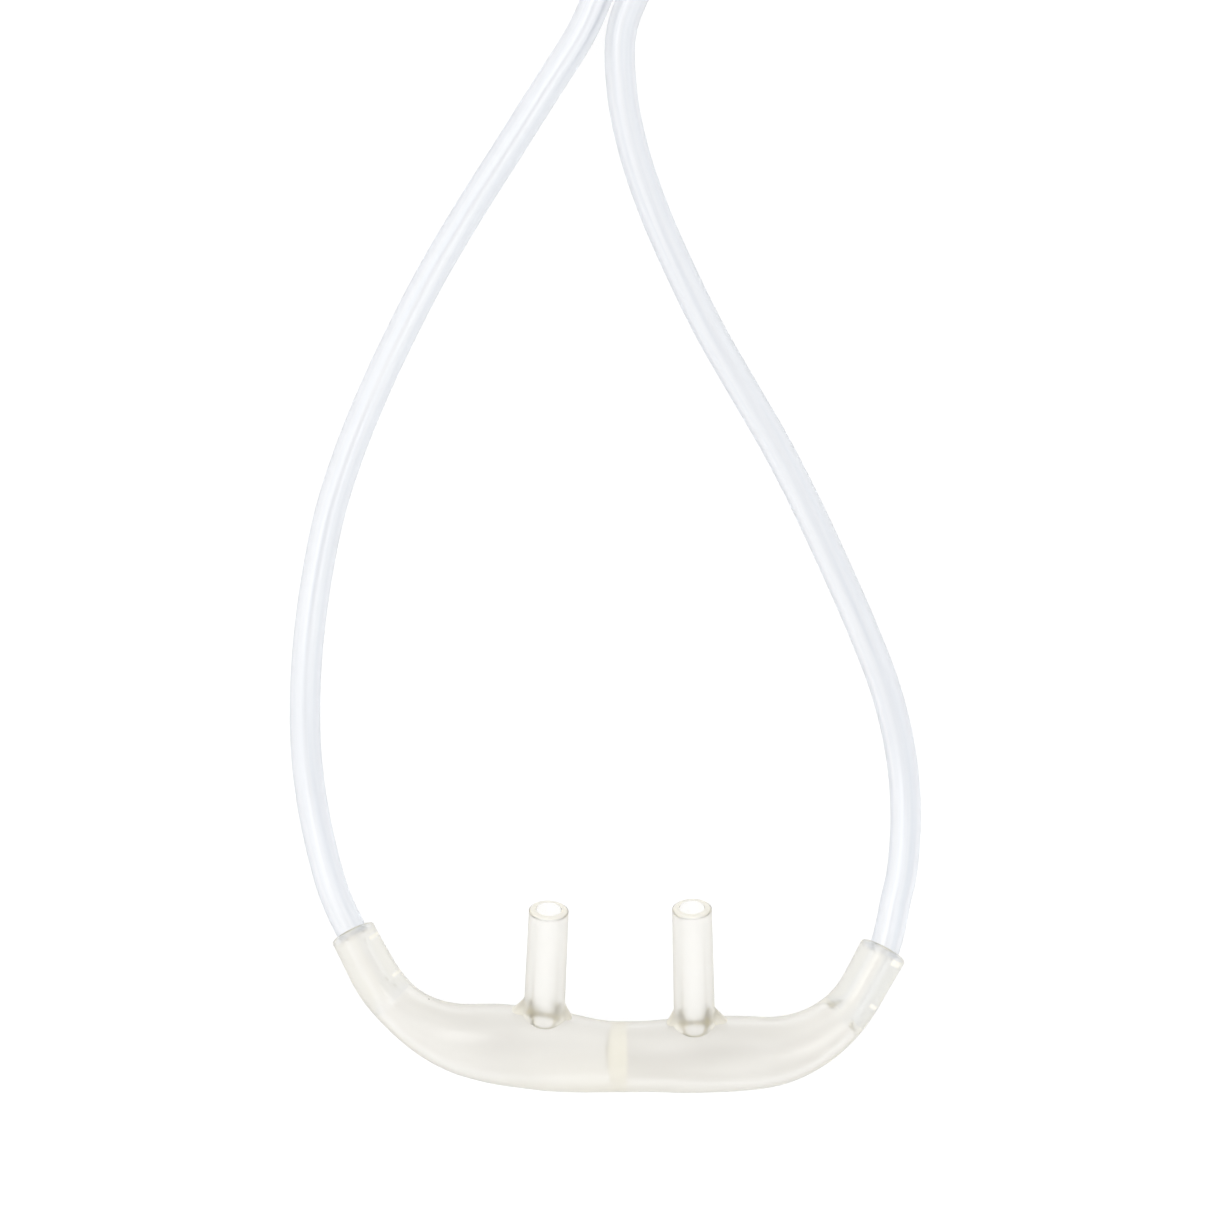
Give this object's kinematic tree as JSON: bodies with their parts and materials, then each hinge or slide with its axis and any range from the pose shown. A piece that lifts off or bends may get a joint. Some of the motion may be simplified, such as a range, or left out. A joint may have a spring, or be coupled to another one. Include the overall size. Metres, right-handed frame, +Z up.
{
  "type": "carbon dioxide sampling nasal cannula",
  "caption": "Clear divided nasal cannula: two short prongs on a hollow bar, one side for oxygen and one for sampling breath, with tubing, sliding sleeve and end connectors.",
  "frame": {"origin": "on the floor, under the centre of the facepiece's outline seen from above, tubes and what is on them left out", "axes": "+Z up from the floor the cannula lies on; +X along the bar from the sampling side to the oxygen side; +Y from the bar towards the slider and the stored coils"},
  "size_m": [0.076, 0.2776, 0.0234],
  "materials": {
    "clear_vinyl": "clear soft vinyl, glossy, faintly yellow where it is thick",
    "clear_tubing": "clear soft tubing, glossy, faintly blue",
    "slide_vinyl": "clear soft vinyl, satin",
    "tie_paper": "white coated tie, matte",
    "luer_plastic": "clear rigid plastic, glossy",
    "funnel_vinyl": "translucent pale green vinyl, satin"
  },
  "bodies": {
    "cannula": {"facepiece": "clear_vinyl", "sample_tube": "clear_tubing", "oxygen_tube": "clear_tubing", "sample_coil": "clear_tubing", "sample_coil_tie": "tie_paper", "sample_tube_end": "clear_tubing", "sample_connector": "luer_plastic", "oxygen_coil": "clear_tubing", "oxygen_coil_tie": "tie_paper", "oxygen_tube_end": "clear_tubing", "oxygen_connector": "funnel_vinyl"},
    "slider": {"slider": "slide_vinyl"}
  },
  "joints": [
    {"name": "slider_travel", "type": "slide", "parent": "cannula", "child": "slider", "axis": [0.4067, 0.9135, 0], "range_m": [0, 0.015]}
  ]
}
